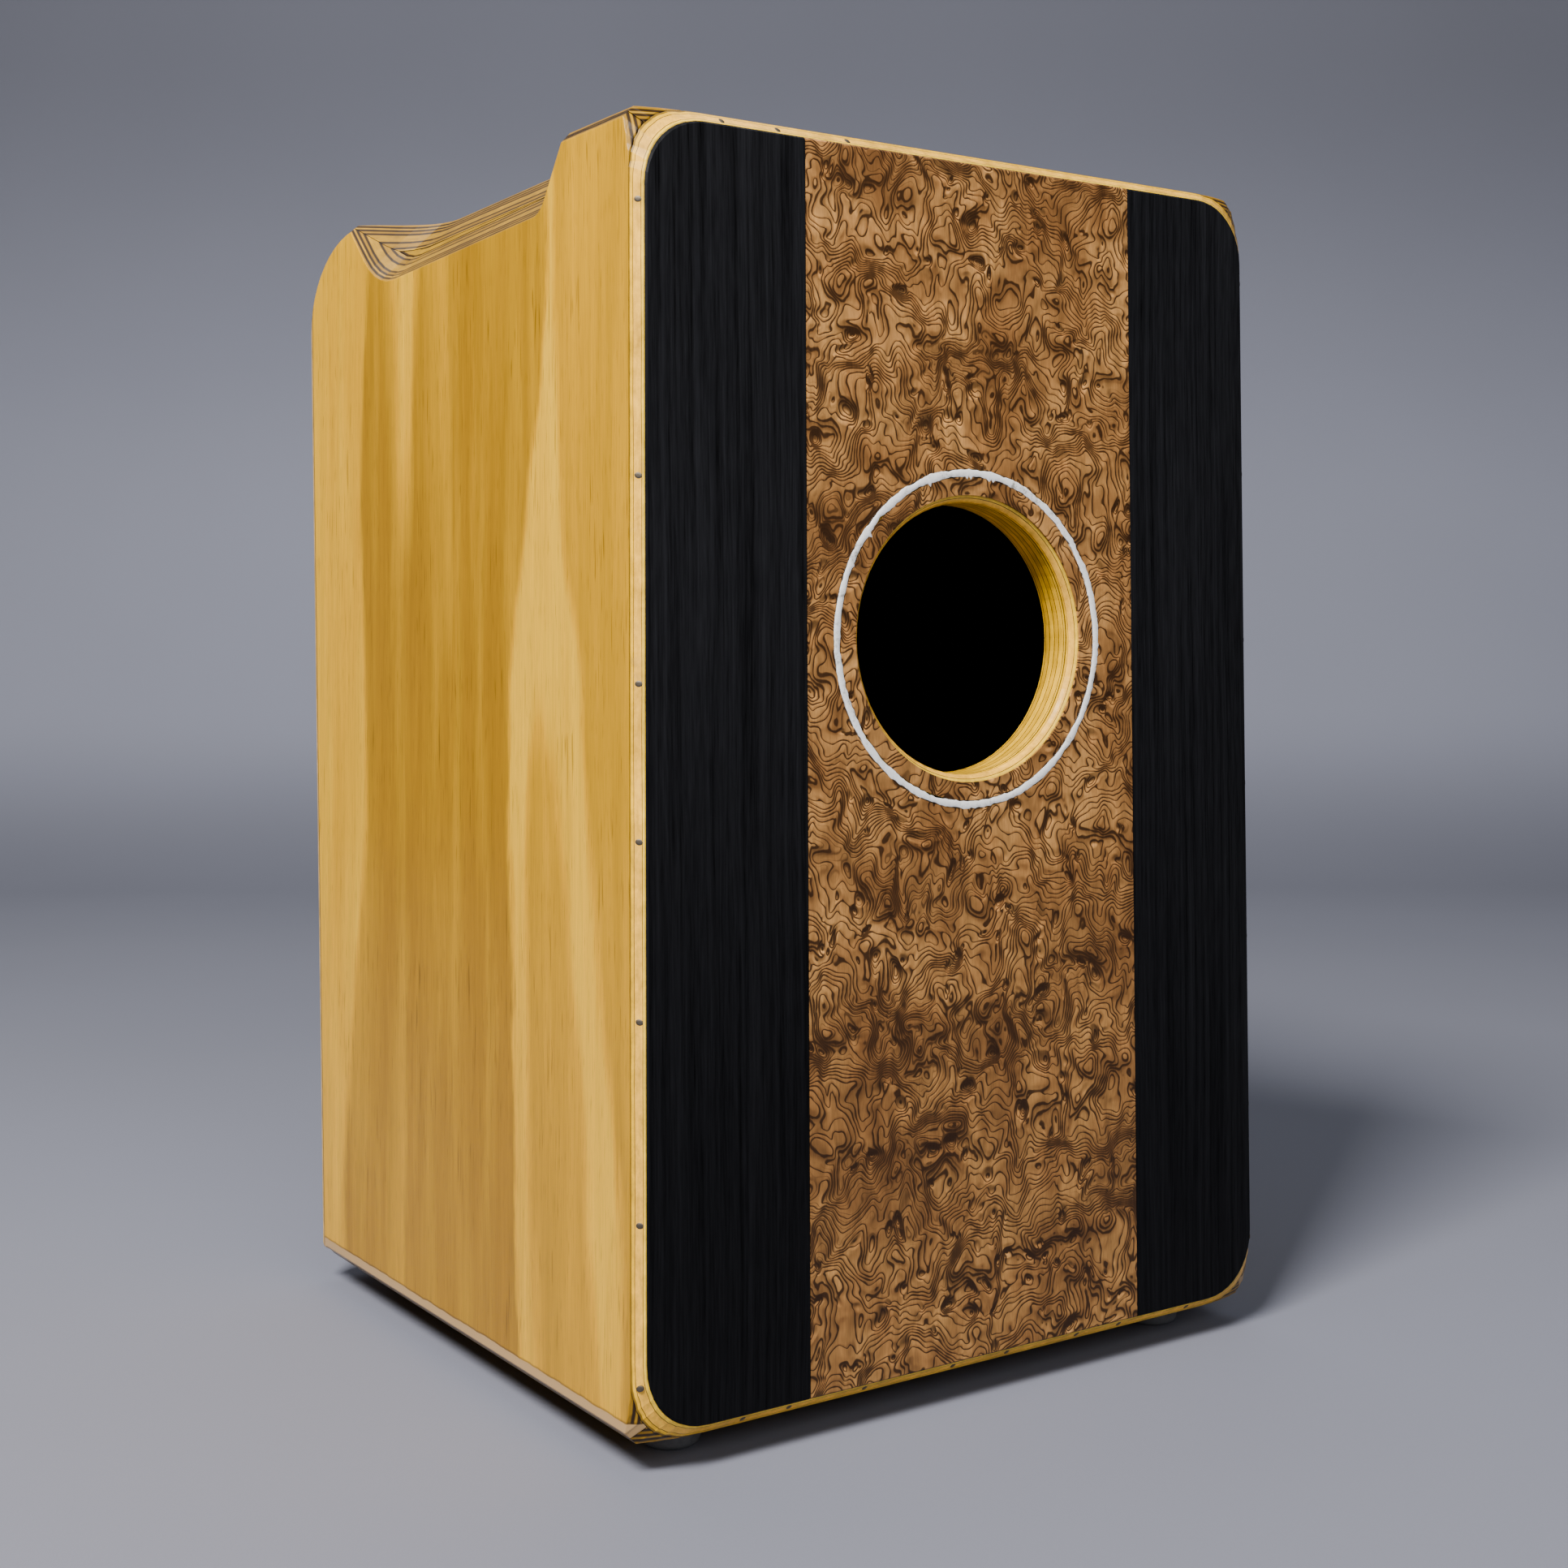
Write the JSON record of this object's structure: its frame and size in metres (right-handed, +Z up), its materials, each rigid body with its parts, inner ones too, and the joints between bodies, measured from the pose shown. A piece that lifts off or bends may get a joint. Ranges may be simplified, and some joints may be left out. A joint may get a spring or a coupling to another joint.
{
  "type": "flamenco cajon",
  "caption": "Box drum with a seat cut away for the thighs, a round sound hole in a veneered rear panel, a leaning playing face and tension strings behind it.",
  "frame": {"origin": "on the floor, under the middle of the overall box", "axes": "+Z up from the floor to the seat, +Y towards the playing face, -Y towards the sound hole, +X to the right seen from the sound-hole side"},
  "size_m": [0.303, 0.3067, 0.48],
  "materials": {
    "pine_ply": "clear gloss varnish over pine-faced plywood",
    "seat_block": "laminated softwood, clear varnish where it shows",
    "spruce_batten": "planed, unfinished",
    "rear_ply": "clear varnish over three-ply edges",
    "black_veneer": "satin varnish over dyed black veneer",
    "burl_veneer": "satin varnish over figured burl veneer",
    "pearl_inlay": "silvery pearl inlay",
    "tapa_ply": "clear satin varnish",
    "screw_steel": "zinc-plated steel",
    "carriage_brass": "milled brass",
    "foot_rubber": "moulded grey rubber",
    "string_wire": "wound string wire"
  },
  "bodies": {
    "cajon_box": {"left_side_panel": "pine_ply", "right_side_panel": "pine_ply", "top_panel": "pine_ply", "bottom_panel": "pine_ply", "left_seat_block": "seat_block", "right_seat_block": "seat_block", "front_batten_top": "spruce_batten", "front_batten_bottom": "spruce_batten", "string_anchor_bar": "spruce_batten", "rear_panel": "rear_ply", "soundhole_collar": "rear_ply", "rear_veneer_left": "black_veneer", "rear_veneer_right": "black_veneer", "rear_veneer_center": "burl_veneer", "rear_veneer_rim": "burl_veneer", "rosette_ring": "pearl_inlay", "tapa": "tapa_ply", "tapa_screw_top_1": "screw_steel", "tapa_screw_top_2": "screw_steel", "tapa_screw_top_3": "screw_steel", "tapa_screw_top_4": "screw_steel", "tapa_screw_bottom_1": "screw_steel", "tapa_screw_bottom_2": "screw_steel", "tapa_screw_bottom_3": "screw_steel", "tapa_screw_bottom_4": "screw_steel", "tapa_screw_left_1": "screw_steel", "tapa_screw_left_2": "screw_steel", "tapa_screw_left_3": "screw_steel", "tapa_screw_right_1": "screw_steel", "tapa_screw_right_2": "screw_steel", "tapa_screw_right_3": "screw_steel", "foot_rear_left": "foot_rubber", "foot_screw_rear_left": "screw_steel", "foot_rear_right": "foot_rubber", "foot_screw_rear_right": "screw_steel", "foot_front_left": "foot_rubber", "foot_screw_front_left": "screw_steel", "foot_front_right": "foot_rubber", "foot_screw_front_right": "screw_steel", "anchor_screw_left": "screw_steel", "string_left_1": "string_wire", "string_left_2": "string_wire", "anchor_screw_right": "screw_steel", "string_right_1": "string_wire", "string_right_2": "string_wire"},
    "tension_bolt_left": {"tension_bolt_left": "screw_steel"},
    "tension_bolt_right": {"tension_bolt_right": "screw_steel"},
    "string_carriage_left": {"string_carriage_left": "carriage_brass"},
    "string_carriage_right": {"string_carriage_right": "carriage_brass"}
  },
  "joints": [
    {"name": "tension_bolt_left_turn", "type": "hinge", "parent": "cajon_box", "child": "tension_bolt_left", "pos_m": [-0.0225, 0.12208, 0.05], "axis": [0, 0, 1], "range_deg": [-725, 725]},
    {"name": "string_carriage_left_slide", "type": "slide", "parent": "cajon_box", "child": "string_carriage_left", "axis": [0, 0, -1], "range_m": [-0.0016, 0.0016], "deforming": ["string_left_1", "string_left_2"]},
    {"name": "tension_bolt_right_turn", "type": "hinge", "parent": "cajon_box", "child": "tension_bolt_right", "pos_m": [0.0225, 0.12208, 0.05], "axis": [0, 0, 1], "range_deg": [-725, 725]},
    {"name": "string_carriage_right_slide", "type": "slide", "parent": "cajon_box", "child": "string_carriage_right", "axis": [0, 0, -1], "range_m": [-0.0016, 0.0016], "deforming": ["string_right_1", "string_right_2"]}
  ],
  "couplings": [
    {"joint": "tension_bolt_left_turn", "follows": "string_carriage_left_slide", "rad_per_m": 7854},
    {"joint": "tension_bolt_right_turn", "follows": "string_carriage_right_slide", "rad_per_m": 7854}
  ]
}
